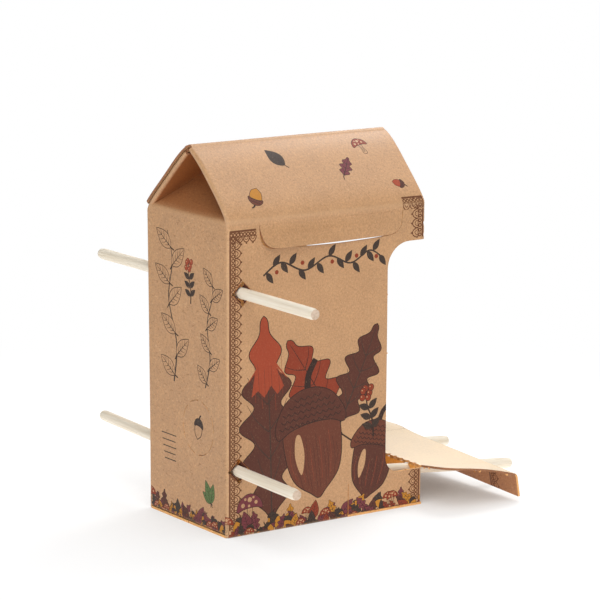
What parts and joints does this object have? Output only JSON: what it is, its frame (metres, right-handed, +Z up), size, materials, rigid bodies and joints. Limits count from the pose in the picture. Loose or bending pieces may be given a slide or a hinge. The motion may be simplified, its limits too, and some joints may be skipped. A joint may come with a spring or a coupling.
{
  "type": "squirrel feeder box",
  "caption": "Gable-top carton feeder with a side opening, a drop-down platform with wings and a lip, a die-cut front tongue, and round wooden sticks as perches and platform supports.",
  "frame": {"origin": "middle of the carton's underside, on the face that stands on the ground", "axes": "+X to the right along the wide front, towards the side with the platform; +Y from the front to the back; +Z up"},
  "size_m": [0.1972, 0.2036, 0.2013],
  "materials": {
    "kraft_board": "matte",
    "inner_board": "matte",
    "birch_wood": "satin"
  },
  "bodies": {
    "carton": {"front_panel": "kraft_board", "back_panel": "kraft_board", "left_panel": "kraft_board", "right_header": "kraft_board", "right_sill": "kraft_board", "glue_flap": "kraft_board", "front_roof": "kraft_board", "back_roof": "kraft_board", "left_gable": "kraft_board", "right_gable": "kraft_board", "left_gusset_front": "kraft_board", "left_gusset_back": "kraft_board", "right_gusset_front": "kraft_board", "right_gusset_back": "kraft_board", "bottom_flap_front": "kraft_board", "bottom_flap_back": "kraft_board", "dust_flap_left": "kraft_board", "dust_flap_right": "kraft_board"},
    "outer_roof_flap": {"roof_flap": "kraft_board"},
    "front_tongue": {"tongue": "kraft_board"},
    "folding_platform": {"platform": "inner_board", "wing_back": "inner_board", "wing_front": "inner_board"},
    "folding_lip": {"lip": "kraft_board"},
    "upper_perch": {"perch_upper": "birch_wood"},
    "lower_perch": {"perch_lower": "birch_wood"},
    "front_support": {"support_front": "birch_wood"},
    "back_support": {"support_back": "birch_wood"}
  },
  "joints": [
    {"name": "roof_flap_lift", "type": "hinge", "parent": "carton", "child": "outer_roof_flap", "pos_m": [0, 0, 0.20126], "axis": [1, 0, 0], "range_deg": [0, 115]},
    {"name": "tongue_bend", "type": "hinge", "parent": "carton", "child": "front_tongue", "pos_m": [0.0023, -0.0369, 0.1624], "axis": [-1, 0, 0], "range_deg": [-20, 35]},
    {"name": "platform_tilt", "type": "hinge", "parent": "carton", "child": "folding_platform", "pos_m": [0.0624, 0, 0.0214], "axis": [0, -1, 0], "range_deg": [0, 10]},
    {"name": "lip_fold", "type": "hinge", "parent": "folding_platform", "child": "folding_lip", "pos_m": [0.10897, 0, 0.0179], "axis": [0, -1, 0], "range_deg": [-15, 15]},
    {"name": "upper_perch_slide", "type": "slide", "parent": "carton", "child": "upper_perch", "axis": [-0.0244, 0.9997, 0.0087], "range_m": [-0.05, 0.05]},
    {"name": "lower_perch_slide", "type": "slide", "parent": "carton", "child": "lower_perch", "axis": [0.0279, 0.9996, 0.0087], "range_m": [-0.05, 0.05]},
    {"name": "front_support_slide", "type": "slide", "parent": "folding_platform", "child": "front_support", "axis": [0.9952, 0, -0.098], "range_m": [0, 0.2]},
    {"name": "back_support_slide", "type": "slide", "parent": "folding_platform", "child": "back_support", "axis": [0.9952, 0, -0.098], "range_m": [0, 0.2]}
  ]
}
